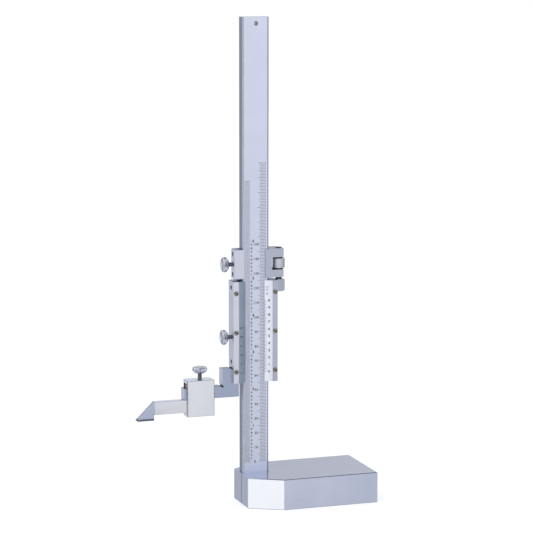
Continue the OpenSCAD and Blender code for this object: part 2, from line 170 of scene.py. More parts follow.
def place(piece, matrix=None):  # the place goes into the mesh, the object stays at the origin
    piece.data.transform(piece.matrix_world.copy() if matrix is None else matrix)
    piece.matrix_world = Matrix.Identity(4)
    return piece


def dress(piece, *materials):
    piece.data.materials.clear()
    for material in materials:
        piece.data.materials.append(material)


def dressFaces(piece, material, wanted, slot=None):
    if material.name not in piece.data.materials:
        piece.data.materials.append(material)
    edit(piece)
    pickFaces(piece, wanted, slot)
    piece.active_material_index = piece.data.materials.find(material.name)
    bpy.ops.object.material_slot_assign()
    done()


def standIn(piece, node):  # shows in the CAD node's place and moves with its body
    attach(piece, nodes[node]["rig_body"])
    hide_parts(node)


# Shader maths: a Signal is a socket that can be reckoned with
class Signal:
    def __init__(self, paint, socket):
        self.paint, self.socket = paint, socket

    def of(self, output):
        return Signal(self.paint, self.socket.node.outputs[output])

    def maths(self, operation, *others):
        return self.paint.maths(operation, self, *others)

    def __add__(self, other):
        return self.maths("ADD", other)

    __radd__ = __add__

    def __sub__(self, other):
        return self.maths("SUBTRACT", other)

    def __rsub__(self, other):
        return self.paint.maths("SUBTRACT", other, self)

    def __mul__(self, other):
        return self.maths("MULTIPLY", other)

    __rmul__ = __mul__

    def __truediv__(self, other):
        return self.maths("DIVIDE", other)

    def __rtruediv__(self, other):
        return self.paint.maths("DIVIDE", other, self)

    def clamped(self):
        return self.maths("MAXIMUM", 0.0).maths("MINIMUM", 1.0)

    def step(self, low, high):  # 0 below low, 1 above high, eased between them
        return self.paint.node("ShaderNodeMapRange", {"interpolation_type": "SMOOTHSTEP"},
                               {"Value": self, "From Min": low, "From Max": high})

    def vector(self, operation, other):
        return self.paint.node("ShaderNodeVectorMath", {"operation": operation},
                               {0: self, 1: other})

    def dot(self, direction):
        return self.vector("DOT_PRODUCT", direction).of("Value")


class Paint:
    mixColours, mixResult = (6, 7), 2  # a Mix node's sockets for colours

    def __init__(self, owner):
        owner.use_nodes = True
        self.owner, self.tree = owner, owner.node_tree
        self.tree.nodes.clear()

    def feed(self, target, value):
        if isinstance(value, Signal):
            self.tree.links.new(value.socket, target)
        else:
            target.default_value = value

    def node(self, kind, settings=None, values=None):
        made = self.tree.nodes.new(kind)
        for key, value in (settings or {}).items():
            setattr(made, key, value)
        for key, value in (values or {}).items():
            self.feed(made.inputs[key], value)
        outputs = [output for output in made.outputs if output.enabled]
        return Signal(self, outputs[0]) if outputs else made

    def maths(self, operation, *values):
        return self.node("ShaderNodeMath", {"operation": operation}, dict(enumerate(values)))

    def noise(self, coords, scale, detail=2.0, roughness=0.5):
        return self.node("ShaderNodeTexNoise", None,
                         {"Vector": coords, "Scale": scale, "Detail": detail,
                          "Roughness": roughness})

    def mapped(self, coords, scale):
        return self.node("ShaderNodeMapping", None, {"Vector": coords, "Scale": scale})

    def blend(self, factor, *colours):
        made = self.node("ShaderNodeMix", {"data_type": "RGBA"}, {"Factor": factor})
        for socket, colour in zip(self.mixColours, colours):
            colour = colour if isinstance(colour, Signal) else (*colour, 1)
            self.feed(made.socket.node.inputs[socket], colour)
        return made.of(self.mixResult)

    def tones(self, factor, colour, dark, paintedShine):  # of one colour
        return self.blend(factor, shade(colour, dark), shade(colour, paintedShine))

    def bump(self, height, distance):
        return self.node("ShaderNodeBump", None, {"Height": height, "Distance": distance})

    def surface(self, **values):
        shader = self.node("ShaderNodeBsdfPrincipled", None,
                           {key.replace("_", " "): value for key, value in values.items()})
        self.node("ShaderNodeOutputMaterial", None, {"Surface": shader})
        return self.owner


def shade(colour, factor):
    return tuple(min(1.0, part * factor) for part in colour)


grains = {  # grinding lines to the metre along X, Y and Z, and their depth in metres
    "base": {"lines": (60, 900, 4200), "depth": 1.2e-6},
    "baseEnds": {"lines": (900, 4200, 60), "depth": 1.2e-6},
    "beam": {"lines": (5200, 5200, 90), "depth": 1.6e-6},
    "head": {"lines": (4200, 4200, 80), "depth": 1.6e-6},
    "plate": {"lines": (6500, 6500, 1500), "depth": 1.4e-6},
    "edge": {"lines": (3000, 3000, 3000), "depth": 0.8e-6},
    "turned": {"lines": (5200, 5200, 5200), "depth": 1.6e-6},
}
# "top" is a colour for faces that look up: painted shade, darkest on the slider's top under the
# carriage. "far" multiplies the colour beyond a line across its axis: painted shade, and a
# warmer painted tone on the slider's front.
steelLooks = {
    "base_steel": {"colour": (0.60, 0.64, 0.79), "rough": 0.24, "clouds": 0.05,
                   **grains["base"], "top": {"colour": (0.45, 0.49, 0.63), "rough": 0.10},
                   "far": {"tone": (0.88, 0.90, 0.90), "axis": (1, 0, 0), "from": 22 * mm,
                           "soft": 24}},
    # painted light and shade: base_side darkens the base's ends, base_cut is a painted
    # highlight on the cut corners
    "base_side": {"colour": (0.50, 0.55, 0.71), "rough": 0.24, "clouds": 0.08,
                  **grains["baseEnds"]},
    "base_cut": {"colour": (0.77, 0.82, 0.98), "rough": 0.24, "clouds": 0.05,
                 **grains["baseEnds"]},
    "beam_steel": {"colour": (0.65, 0.685, 0.82), "rough": 0.34, "clouds": 0.04,
                   **grains["beam"]},
    # painted light and shade: beam_side darkens the beam's sides, more towards the back;
    # beam_right is darker at the right edge; beam_bevel is a painted highlight on the left
    # bevel
    "beam_side": {"colour": (0.52, 0.57, 0.73), "rough": 0.28, "clouds": 0.06,
                  **grains["beam"],
                  "far": {"tone": (0.46, 0.51, 0.58), "axis": (0, 1, 0),
                          "from": beamHigh.y - 6.4 * mm}},
    "beam_right": {"colour": (0.62, 0.66, 0.80), "rough": 0.30, "clouds": 0.06,
                   **grains["beam"],
                   "far": {"tone": (0.55, 0.57, 0.72), "axis": (1, 0, 0),
                           "from": beamHigh.x - 0.8 * mm}},
    "beam_bevel": {"colour": (0.77, 0.83, 0.96), "metal": 0.5, "rough": 0.24,
                   "clouds": 0.06, **grains["beam"]},
    "slider_steel": {"colour": (0.66, 0.71, 0.88), "rough": 0.30, "clouds": 0.06,
                     **grains["head"], "top": {"colour": (0.30, 0.33, 0.42), "rough": 0.36}},
    # painted shade: slider_face darkens the slider's front
    "slider_face": {"colour": (0.39, 0.445, 0.58), "rough": 0.30, "clouds": 0.06,
                    **grains["head"],
                    "far": {"tone": (1.05, 0.99, 0.92), "axis": (1, 0, 0), "from": beamMidX}},
    # painted shade: carriage_face is the carriage's front, darker beyond the beam's middle line
    "carriage_face": {"colour": (0.65, 0.67, 0.76), "rough": 0.34, "clouds": 0.08,
                      "lines": (3000, 3000, 700), "depth": 2.4e-6,
                      "far": {"tone": (0.72, 0.745, 0.785), "axis": (1, 0, 0),
                              "from": beamMidX}},
    "satin_plate": {"colour": (0.71, 0.71, 0.80), "rough": 0.36, "clouds": 0.04,
                    **grains["plate"],
                    "far": {"tone": (0.70, 0.72, 0.77), "axis": (1, 0, 0), "from": beamMidX}},
    # painted light and shade: mm_bevel is a painted highlight with a painted shadow along its
    # first 0.5 mm from the thin edge; inch_bevel is painted shade
    "mm_bevel": {"colour": (0.80, 0.85, 0.98), "rough": 0.34, "clouds": 0.04,
                 **grains["plate"],
                 "far": {"tone": (0.61, 0.62, 0.68), "axis": (-1, 0, 0), "soft": 0.15,
                         "from": -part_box("vernier_plate_mm")[0].x - 0.5 * mm}},
    "inch_bevel": {"colour": (0.37, 0.455, 0.585), "rough": 0.34, "clouds": 0.06,
                   **grains["plate"]},
    "screw_steel": {"colour": (0.36, 0.34, 0.28), "rough": 0.30, "clouds": 0.10,
                    **grains["turned"]},
    # painted shade: screw_edge darkens the screw heads' edge breaks into a ring of shade
    "screw_edge": {"colour": (0.15, 0.13, 0.09), "rough": 0.34, "clouds": 0.10,
                   **grains["turned"]},
    "stem_steel": {"colour": (0.27, 0.27, 0.29), "rough": 0.22, "clouds": 0.10,
                   "lines": (4200, 4200, 4200), "depth": 1.6e-6},
    "gib_steel": {"colour": (0.40, 0.43, 0.52), "rough": 0.38, "clouds": 0.08,
                  "lines": (4200, 4200, 80), "depth": 2.0e-6},
    "black_steel": {"colour": (0.10, 0.11, 0.14), "rough": 0.40, "clouds": 0.10,
                    "lines": (5200, 5200, 5200), "depth": 2.5e-6},
    "box_steel": {"colour": (0.81, 0.82, 0.88), "rough": 0.33, "clouds": 0.05,
                  "lines": (160, 5200, 3000), "depth": 1.6e-6,
                  "top": {"colour": (0.72, 0.78, 0.90), "rough": 0.33}},
    "ground_nose": {"colour": (0.50, 0.55, 0.70), "rough": 0.26, "clouds": 0.10,
                    "lines": (900, 5200, 900), "depth": 2.0e-6},
    "brass": {"colour": (0.33, 0.19, 0.11), "rough": 0.28, "clouds": 0.14,
              "lines": (120, 3000, 3000), "depth": 2.0e-6},
    "carbide": {"colour": (0.13, 0.14, 0.19), "rough": 0.30, "clouds": 0.06,
                "lines": (7000, 7000, 7000), "depth": 1.2e-6},
    "eased_edge": {"colour": (0.50, 0.52, 0.62), "rough": 0.16, "clouds": 0.03,
                   **grains["edge"]},
    # painted reflection: dark_edge is a dark stand-in for edge breaks that mirror the unlit
    # ceiling or corners
    "dark_edge": {"colour": (0.10, 0.115, 0.17), "metal": 0.0, "gloss": 0.15, "rough": 0.35,
                  "clouds": 0.06, **grains["edge"]},
    # painted shade: a dark stand-in for the shade inside slits, bores, slots, grooves and
    # windows
    "painted_shade_dark": {"colour": (0.035, 0.038, 0.05), "metal": 0.0, "gloss": 0.15,
                   "rough": 0.50, "clouds": 0.10,
                   "lines": (4200, 4200, 4200), "depth": 3.0e-6},
}
groundWear = {  # how the lines, clouds and scratches show
    "lineDetail": 3.0, "lineHarsh": 0.6, "lineTone": 0.5, "lineRough": 0.10,
    "cloudScale": 55.0, "cloudDetail": 3.0, "cloudTone": 2.2, "cloudRough": 2.0,
    "tones": (0.955, 1.035), "topTones": (0.97, 1.03), "farTones": (0.96, 1.04),
    "topSlope": (0.85, 0.97), "farSoft": 0.3,
    "streakScale": 0.25, "streakDetail": 1.0, "scratch": (0.70, 0.78),
    "scratchTone": 1.12, "scratchShare": 0.35, "scratchDepth": 0.6,
}


# Ground and satin steel: fine lines along one axis, soft clouds, a few stray scratches, and
# painted shade beyond a line and on faces that look up
def groundSteel(name, look):
    wear, base = groundWear, look["colour"]
    paint = Paint(bpy.data.materials.new(name))
    coords = paint.node("ShaderNodeTexCoord").of("Object")
    normal = paint.node("ShaderNodeNewGeometry").of("Normal")
    lines = paint.noise(paint.mapped(coords, look["lines"]), 1.0, wear["lineDetail"],
                        wear["lineHarsh"])
    clouds = paint.noise(coords, wear["cloudScale"], wear["cloudDetail"]) - 0.5
    streakLines = tuple(count * wear["streakScale"] for count in look["lines"])
    streaks = paint.noise(paint.mapped(coords, streakLines), 1.0, wear["streakDetail"])
    scratches = streaks.step(*wear["scratch"])
    rough = (look["rough"] + (lines - 0.5) * wear["lineRough"]
             + clouds * look["clouds"] * wear["cloudRough"])
    worn = (0.5 + clouds * wear["cloudTone"] + (lines - 0.5) * wear["lineTone"]).clamped()
    colour = paint.tones(worn, base, *wear["tones"])
    colour = paint.blend(scratches * wear["scratchShare"], colour,
                         shade(base, wear["scratchTone"]))
    # painted shade: darker beyond a line across the axis (on the slider's front a warmer
    # painted tone)
    if "far" in look:
        far = look["far"]
        soft = far.get("soft", wear["farSoft"]) * mm
        beyond = coords.dot(far["axis"]).step(far["from"] - soft, far["from"] + soft)
        paintedShadeColour = tuple(part * tone for part, tone in zip(base, far["tone"]))
        colour = paint.blend(beyond, colour, paint.tones(worn, paintedShadeColour, *wear["farTones"]))
    # painted shade: faces that look up take a darker top colour of their own
    if "top" in look:
        top = normal.dot((0, 0, 1)).step(*wear["topSlope"])
        shadedTopColour = paint.tones(worn, look["top"]["colour"], *wear["topTones"])
        colour = paint.blend(top, colour, shadedTopColour)
        rough = rough + (look["top"]["rough"] - look["rough"]) * top
    height = lines + scratches * wear["scratchDepth"]
    return paint.surface(Base_Color=colour, Metallic=look.get("metal", 1.0),
                         Roughness=rough.clamped(),
                         Specular_IOR_Level=look.get("gloss", 0.5),
                         Normal=paint.bump(height, look["depth"]))


turnedWear = {  # how the rings, fine grain, clouds and the wedges of painted highlight and shade show
    "flat": (0.80, 0.95), "ringTone": 0.15, "tones": (0.88, 1.05),
    "fineScale": 5200.0, "fineRough": 0.08, "fineDepth": 0.5,
    "cloudScale": 260.0, "cloudTone": 1.6, "cloudRough": 0.12,
    "sector": (0.62, 0.90), "brightTones": (1.05, 1.25), "darkTone": 0.42, "darkShare": 0.75,
}


# Turned steel: rings round the piece's own axis on its flat faces, fine grain on the rest
def turnedSteel(name, centre, axis, look):
    wear, base = turnedWear, look["colour"]
    paint = Paint(bpy.data.materials.new(name))
    coords = paint.node("ShaderNodeTexCoord").of("Object")
    normal = paint.node("ShaderNodeNewGeometry").of("Normal")
    across = tuple(1 - abs(part) for part in axis)
    radial = coords.vector("SUBTRACT", centre).vector("MULTIPLY", across)
    radius = radial.vector("LENGTH", (0, 0, 0)).of("Value")
    flat = normal.dot(axis).maths("ABSOLUTE").step(*wear["flat"])
    rings = (radius * (2 * math.pi / (look["ringPitch"] * mm))).maths("SINE")
    fine = paint.noise(coords, wear["fineScale"])
    clouds = paint.noise(coords, wear["cloudScale"]) - 0.5
    worn = (0.5 + clouds * wear["cloudTone"] + rings * flat * wear["ringTone"]).clamped()
    colour = paint.tones(worn, base, *wear["tones"])
    if "wedge" in look:  # painted highlight in two wedges on turned faces, painted shade between them
        along = radial.dot(look["wedge"]) / (radius + 0.01 * mm)  # never by 0
        sector = (along * along).step(*wear["sector"])
        paintedShine = paint.tones(worn, base, *wear["brightTones"])
        colour = paint.blend(flat * (1 - sector), colour, paintedShine)
        colour = paint.blend(flat * sector * wear["darkShare"], colour,
                             shade(base, wear["darkTone"]))
    rough = look["rough"] + clouds * wear["cloudRough"] + (fine - 0.5) * wear["fineRough"]
    height = rings * flat + fine * wear["fineDepth"]
    return paint.surface(Base_Color=colour, Metallic=1.0, Roughness=rough.clamped(),
                         Normal=paint.bump(height, look["depth"]))


inkLook = {"colour": (0.035, 0.04, 0.055), "speckScale": 3000.0, "detail": 3.0, "harsh": 0.7,
           "faded": (0.45, 0.75), "fadedTone": 2.2, "fadedShare": 0.5,
           "rough": 0.55, "speckRough": 0.25, "depth": 2e-6}


def inkFill(name, look):
    paint = Paint(bpy.data.materials.new(name))
    coords = paint.node("ShaderNodeTexCoord").of("Object")
    specks = paint.noise(coords, look["speckScale"], look["detail"], look["harsh"])
    colour = paint.blend(specks.step(*look["faded"]) * look["fadedShare"], look["colour"],
                         shade(look["colour"], look["fadedTone"]))
    return paint.surface(Base_Color=colour,
                         Roughness=look["rough"] + specks * look["speckRough"],
                         Normal=paint.bump(specks, look["depth"]))


finish = {slot: groundSteel(slot, look) for slot, look in steelLooks.items()}
ink = inkFill("engravedInk", inkLook)
print("materials made")

# Solids that show get eased edges, and some of their faces painted light and shade of their own
easing = {  # width of the edge break on each, in mm
    "base_block": 0.30, "beam": 0.14, "slider_frame": 0.22, "vernier_plate_mm": 0.08,
    "vernier_plate_inch": 0.08, "carriage_frame": 0.24, "clamp_box": 0.34,
    "scriber_bar": 0.22, "carbide_tip": 0.08, "pressure_pad": 0.14,
    "vernier_plate_screws": 0.32,
}
edgeBreak = {"segments": 2, "fromAngle": 28, "slot": 1, "flatAngle": 0.5, "smoothAngle": 50,
             "weight": 90}
darkEdges = {  # painted reflection: edge breaks darkened where they mirror the unlit ceiling or corners
    "base_block": lambda at, normal: normal.z > sloped and normal.y < -slight,
    "clamp_box": lambda at, normal: True,
    "carriage_frame": lambda at, normal: normal.x > sloped or normal.z < -sloped,
    "slider_frame": lambda at, normal: normal.x < -sloped and normal.y < -sloped,
    "beam": lambda at, normal: normal.z > sloped,
}


def near(at, x, z, reach):  # round a line along Y
    return math.hypot(at.x - x, at.z - z) < reach * mm


beamPlaces = {"holeDrop": 4.4, "holeReach": 1.7, "sideFrom": 5}


def beamFinishes():  # painted light and shade: darker walls in the hole near the top, darker sides, a painted highlight on the left broken corner and shade on the right one
    p = beamPlaces
    return {
        "gib_steel": lambda at, normal: abs(normal.y) < sloped
        and near(at, beamMidX, beamHigh.z - p["holeDrop"] * mm, p["holeReach"]),
        "beam_side": lambda at, normal: abs(normal.x) > square
        and abs(at.x - beamMidX) > p["sideFrom"] * mm,
        "beam_bevel": lambda at, normal: normal.x < -sloped and normal.y < -sloped,
        "beam_right": lambda at, normal: normal.x > sloped and normal.y < -sloped,
    }


basePlaces = {"endNormal": 0.95, "slitInset": 1, "slitReach": 0.7, "slitFoot": 0.4,
              "slitMargin": 0.1}


def baseFinishes():  # painted light and shade: the wire slit dark inside, the two ends darker, the cut corners at the beam's end a painted highlight
    low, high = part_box("base_block")
    inset, margin = basePlaces["slitInset"] * mm, basePlaces["slitMargin"] * mm
    return {
        "painted_shade_dark": lambda at, normal: abs(normal.y) > square
        and at.x < beamLow.x - margin and low.y + inset < at.y < high.y - inset,
        "base_side": lambda at, normal: abs(normal.x) > basePlaces["endNormal"],
        "base_cut": lambda at, normal: normal.x < -sloped and abs(normal.y) > sloped
        and abs(normal.z) < sloped,
    }


plateScrews = {"head": 1.5, "boreReach": 1.75, "headFace": 0.2}


def plateFinishes(bevel, side):  # painted light and shade on the bevel, and painted shade in the bores of the plate's three screws
    low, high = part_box("vernier_plate_screws")
    head = plateScrews["head"] * mm
    x = high.x - head if side > 0 else low.x + head
    rows = (low.z + head, (low.z + high.z) / 2, high.z - head)
    return {
        bevel: lambda at, normal: side * normal.x < -sloped and normal.y < -sloped,
        "painted_shade_dark": lambda at, normal: abs(normal.y) < sloped
        and any(near(at, x, z, plateScrews["boreReach"]) for z in rows),
    }


def screwFinishes():  # painted shade in the slots and on the shanks behind the heads' faces
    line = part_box("vernier_plate_screws")[0].y + plateScrews["headFace"] * mm
    return {"painted_shade_dark": lambda at, normal: at.y > line}


sliderPlaces = {  # the relief grooves' X is from the beam's middle line, their Z from the sole
    "grooves": ((-23.75, 82.6), (-16.7, 94.5)), "grooveReach": 0.9,
    "channelReach": 12.2, "channelFrom": 0.4,
}


def sliderFinishes():  # painted shade: the front darker, and the channel's sides with the relief grooves dark
    p = sliderPlaces

    def inGroove(at):
        return any(near(at, beamMidX + x * mm, z * mm, p["grooveReach"])
                   for x, z in p["grooves"])

    def inChannel(at, normal):
        return (abs(normal.x) > square and abs(at.x - beamMidX) < p["channelReach"] * mm
                and at.y > beamLow.y + p["channelFrom"] * mm)

    return {
        "slider_face": lambda at, normal: normal.y < -square,
        "painted_shade_dark": lambda at, normal: abs(normal.y) < sloped
        and (inGroove(at) or inChannel(at, normal)),
    }


windowPlaces = {"side": 0.8, "end": 0.2, "rise": 0.6}  # how far it goes past the nut


def carriageFinishes():  # painted shade: the front, and the dark inside of the nut's window
    nutLow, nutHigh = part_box("feed_nut")
    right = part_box("carriage_frame")[1].x - windowPlaces["end"] * mm
    side, rise = windowPlaces["side"] * mm, windowPlaces["rise"] * mm
    return {
        "carriage_face": lambda at, normal: normal.y < -square,
        "painted_shade_dark": lambda at, normal: normal.y > -square
        and nutLow.x - side < at.x < right and nutLow.z - rise < at.z < nutHigh.z + rise,
    }


boxPlaces = {"wall": 1.1, "roof": 2}


def boxFinishes():  # painted shade on the sleeve's inside
    low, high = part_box("clamp_box")
    wall, roof = boxPlaces["wall"] * mm, boxPlaces["roof"] * mm
    return {
        "painted_shade_dark": lambda at, normal: abs(normal.x) < square
        and low.y + wall < at.y < high.y - wall and low.z + roof < at.z < high.z - roof,
    }


paintedLightFaces = {
    "beam": beamFinishes(), "base_block": baseFinishes(), "slider_frame": sliderFinishes(),
    "carriage_frame": carriageFinishes(), "clamp_box": boxFinishes(),
    "vernier_plate_mm": plateFinishes("mm_bevel", 1),
    "vernier_plate_inch": plateFinishes("inch_bevel", -1),
    "vernier_plate_screws": screwFinishes(),
}


def darkSlit(piece):  # painted shade: the wire slit's eased edges are as dark as its inside
    low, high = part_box("base_block")
    margin, reach = basePlaces["slitMargin"] * mm, basePlaces["slitReach"] * mm
    foot = low.z + basePlaces["slitFoot"] * mm
    dark = piece.data.materials.find("painted_shade_dark")
    sides = [face.center.y for face in piece.data.polygons if face.material_index == dark]
    middle = sum(sides) / len(sides)
    dressFaces(piece, finish["painted_shade_dark"], lambda at, normal: abs(at.y - middle) < reach
               and at.x < beamLow.x - margin and foot < at.z < high.z - margin)


def groundNose(piece):  # the scriber is ground up to the line where its slope ends
    low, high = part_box("scriber_bar")
    line = low.x + (high.z - low.z)
    editAll(piece)
    bpy.ops.mesh.bisect(plane_co=(line, 0, 0), plane_no=(1, 0, 0))
    done()
    dressFaces(piece, finish["ground_nose"], lambda at, normal: at.x < line)


def easedCopy(node, width):
    piece = openCopy(node, node + "_eased")
    bpy.ops.mesh.dissolve_limited(angle_limit=math.radians(edgeBreak["flatAngle"]))
    done()
    # painted shade on the plate screws' edge breaks, plain eased edges on the rest
    edgeLook = "screw_edge" if node == "vernier_plate_screws" else "eased_edge"
    dress(piece, finish[slotOf[node]], finish[edgeLook])
    for name, wanted in paintedLightFaces.get(node, {}).items():
        dressFaces(piece, finish[name], wanted)
    finishWith(piece, "BEVEL", width=width * mm, segments=edgeBreak["segments"],
               limit_method="ANGLE", angle_limit=math.radians(edgeBreak["fromAngle"]),
               material=edgeBreak["slot"], use_clamp_overlap=True)
    if node in darkEdges:
        dressFaces(piece, finish["dark_edge"], darkEdges[node], edgeBreak["slot"])
    if node == "base_block":
        darkSlit(piece)
    smooth(piece, edgeBreak["smoothAngle"])
    finishWith(piece, "WEIGHTED_NORMAL", keep_sharp=True, weight=edgeBreak["weight"])
    if node == "scriber_bar":
        groundNose(piece)
    standIn(piece, node)


for node, width in easing.items():
    easedCopy(node, width)
print("eased solids made:", len(easing))

thread = {"pitch": 0.5, "depth": 0.27, "steps": 24, "crest": 0.12}


def threadedRod(radius, length, foot):  # upright, with the middle of its lower end at foot
    pitch, crest, depth = thread["pitch"], thread["crest"], thread["depth"]
    flank = (pitch - crest) / 2
    bpy.ops.mesh.primitive_plane_add(size=mm, location=(0, 0, 0))
    rod = bpy.context.object
    editAll(rod)
    bpy.ops.mesh.merge(type="CENTER")
    bpy.ops.transform.translate(value=((radius - depth) * mm, 0, 0))
    for out, up in ((depth, flank), (0, crest), (-depth, flank)):
        bpy.ops.mesh.extrude_region_move(
            TRANSFORM_OT_translate={"value": (out * mm, 0, up * mm)})
    done()
    finishWith(rod, "SCREW", axis="Z", angle=2 * math.pi, screw_offset=pitch * mm,
               iterations=math.ceil(length / pitch), steps=thread["steps"],
               render_steps=thread["steps"], use_merge_vertices=True, merge_threshold=weld)
    for height, isTop in ((pitch, False), (length, True)):  # square ends
        editAll(rod)
        bpy.ops.mesh.bisect(plane_co=(0, 0, height * mm), plane_no=(0, 0, 1), use_fill=True,
                            clear_outer=isTop, clear_inner=not isTop)
        done()
    tidyMesh(rod)
    lowest = min(point.co.z for point in rod.data.vertices)
    return place(rod, Matrix.Translation((foot[0], foot[1], foot[2] - lowest)))


def knurl(piece, shape):  # draws in every second column of points along the rim
    def inColumn(at):
        return round(math.atan2(at.y, at.x) / math.pi * shape["teeth"]) % 2

    edit(piece, "VERT")
    pickPoints(piece, lambda at: at.xy.length > (shape["radius"] - shape["band"]) * mm
               and inColumn(at))
    resizeRound(1 - shape["knurl"] / shape["radius"])
    done()


thumbScrew = {"radius": 5.1, "face": 4.3, "edge": 0.7, "rim": 1.8, "thick": 4.2, "neck": 3.3,
              "lip": 0.55, "dish": 0.22, "dishTaper": 0.97, "bevel": 0.09, "bevelAngle": 24,
              "centre": 1.1, "centreDepth": 0.12, "centreTaper": 0.7,
              "teeth": 44, "knurl": 0.24, "band": 0.12,
              "stem": 1.5, "overlap": 0.4, "smoothAngle": 30}
turned = {"colour": (0.56, 0.59, 0.68), "rough": 0.20, "ringPitch": 0.16, "depth": 9e-6}
thumbScrews = {  # where the head looks, how it is turned there from -Z, where its face takes painted shade
    "slider_lock_screw": {"facing": (-1, 0, 0), "turn": (90, "Y"), "wedge": (0, 0.50, 0.87)},
    "carriage_lock_screw": {"facing": (-1, 0, 0), "turn": (90, "Y"), "wedge": (0, 0.30, 0.95)},
    "clamp_screw": {"facing": (0, 0, 1), "turn": (180, "X"), "wedge": (0.94, 0.34, 0)},
}


def thumbHead():  # its face looks down from the origin
    t = thumbScrew
    bpy.ops.mesh.primitive_cylinder_add(vertices=2 * t["teeth"], radius=t["radius"] * mm,
                                        depth=t["rim"] * mm,
                                        location=(0, 0, (t["edge"] + t["rim"] / 2) * mm))
    head = place(bpy.context.object)
    edit(head)
    pickFaces(head, lambda at, normal: normal.z < -square)
    push(-t["edge"] * mm, t["face"] / t["radius"])
    bpy.ops.mesh.inset(thickness=t["lip"] * mm)
    push(t["dish"] * mm, t["dishTaper"])
    bpy.ops.mesh.inset(thickness=(t["face"] - t["lip"] - t["centre"]) * mm)
    push(t["centreDepth"] * mm, t["centreTaper"])
    pickFaces(head, lambda at, normal: normal.z > square)
    push((t["thick"] - t["edge"] - t["rim"]) * mm, t["neck"] / t["radius"])
    done()
    finishWith(head, "BEVEL", width=t["bevel"] * mm, segments=2, limit_method="ANGLE",
               angle_limit=math.radians(t["bevelAngle"]))
    knurl(head, t)
    return head


def turnedScrew(node, headMesh, facing, turn, wedge):
    t = thumbScrew
    low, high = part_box(node)
    start = (low + high) / 2  # goes to the middle of the head's face
    if facing[2]:
        start.z, length = high.z, high.z - low.z
    else:
        start.x, length = low.x, high.x - low.x
    head = copyOf(headMesh, node + "_head")
    stem = threadedRod(t["stem"], length / mm - t["thick"] + t["overlap"],
                       (0, 0, (t["thick"] - t["overlap"]) * mm))
    dress(head, turnedSteel(node + "_steel", start, facing, {**turned, "wedge": wedge}))
    dress(stem, finish["stem_steel"])
    screw = joined([head, stem], node + "_turned")
    degrees, axis = turn
    place(screw, Matrix.Translation(start) @ Matrix.Rotation(math.radians(degrees), 4, axis))
    smooth(screw, t["smoothAngle"])
    standIn(screw, node)


headMesh = thumbHead()
for node, screw in thumbScrews.items():
    turnedScrew(node, headMesh, **screw)
bpy.data.objects.remove(headMesh)
print("thumb screws made")

rodShape = {"radius": 2.15, "chamfer": 0.4, "seam": 0.02, "cap": 1.0, "capSides": 48,
            "capBevel": 0.3, "smoothAngle": 30}


def feedRod():  # plain in the slider's lug, threaded above it
    r = rodShape
    low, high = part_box("feed_rod")
    middle = (low + high) / 2
    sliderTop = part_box("vernier_plate_mm")[1].z
    shank = openCopy("feed_rod", "feed_rod_shank")
    bpy.ops.mesh.bisect(plane_co=(0, 0, sliderTop - r["seam"] * mm), plane_no=(0, 0, 1),
                        use_fill=True, clear_outer=True)
    done()
    threaded = threadedRod(r["radius"], (high.z - sliderTop) / mm - r["chamfer"],
                           (middle.x, middle.y, sliderTop))
    bpy.ops.mesh.primitive_cylinder_add(
        vertices=r["capSides"], radius=(r["radius"] - thread["depth"]) * mm,
        depth=r["cap"] * mm, location=(middle.x, middle.y, high.z - r["cap"] / 2 * mm))
    cap = place(bpy.context.object)
    finishWith(cap, "BEVEL", width=r["capBevel"] * mm, segments=3, limit_method="ANGLE")
    rod = joined([shank, threaded, cap], "feed_rod_threaded")
    dress(rod, finish["black_steel"])
    smooth(rod, r["smoothAngle"])
    standIn(rod, "feed_rod")


nutShape = {"radius": 4.2, "bore": 2.2, "chamfer": 0.95, "rise": 0.9, "lead": 0.3,
            "teeth": 48, "knurl": 0.07, "band": 0.05, "smoothAngle": 30}
knurledSteel = {"colour": (0.58, 0.62, 0.69), "rough": 0.30, "ringPitch": 0.3, "depth": 14e-6}


def feedNut():
    n = nutShape
    low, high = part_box("feed_nut")
    middle, tall = (low + high) / 2, high.z - low.z
    bpy.ops.mesh.primitive_cylinder_add(vertices=2 * n["teeth"], radius=n["radius"] * mm,
                                        depth=tall, location=(0, 0, 0))
    nut = bpy.context.object
    edit(nut)
    for side in (1, -1):  # a chamfer, then the bore's lead-in
        pickFaces(nut, lambda at, normal: normal.z * side > square)
        bpy.ops.transform.translate(value=(0, 0, -side * n["rise"] * mm))
        push(side * n["rise"] * mm, 1 - n["chamfer"] / n["radius"])
        bpy.ops.mesh.inset(
            thickness=(n["radius"] - n["chamfer"] - n["bore"] - n["lead"]) * mm)
        push(-side * n["lead"] * mm, n["bore"] / (n["bore"] + n["lead"]))
    pickFaces(nut, lambda at, normal: abs(normal.z) > square and at.xy.length < weld * 10
              and abs(at.z) < tall / 2 - n["lead"] / 2 * mm)
    bpy.ops.mesh.delete(type="FACE")
    bpy.ops.mesh.select_all(action="DESELECT")
    bpy.ops.mesh.select_mode(type="EDGE")
    bpy.ops.mesh.select_non_manifold()
    bpy.ops.mesh.bridge_edge_loops()
    done()
    knurl(nut, n)
    tidyMesh(nut)
    place(nut, Matrix.Translation(middle))
    named(nut, "feed_nut_knurled")
    dress(nut, turnedSteel("feed_nut_steel", middle, (0, 0, 1), knurledSteel))
    smooth(nut, n["smoothAngle"])
    standIn(nut, "feed_nut")


feedRod()
feedNut()
print("feed rod and nut made")

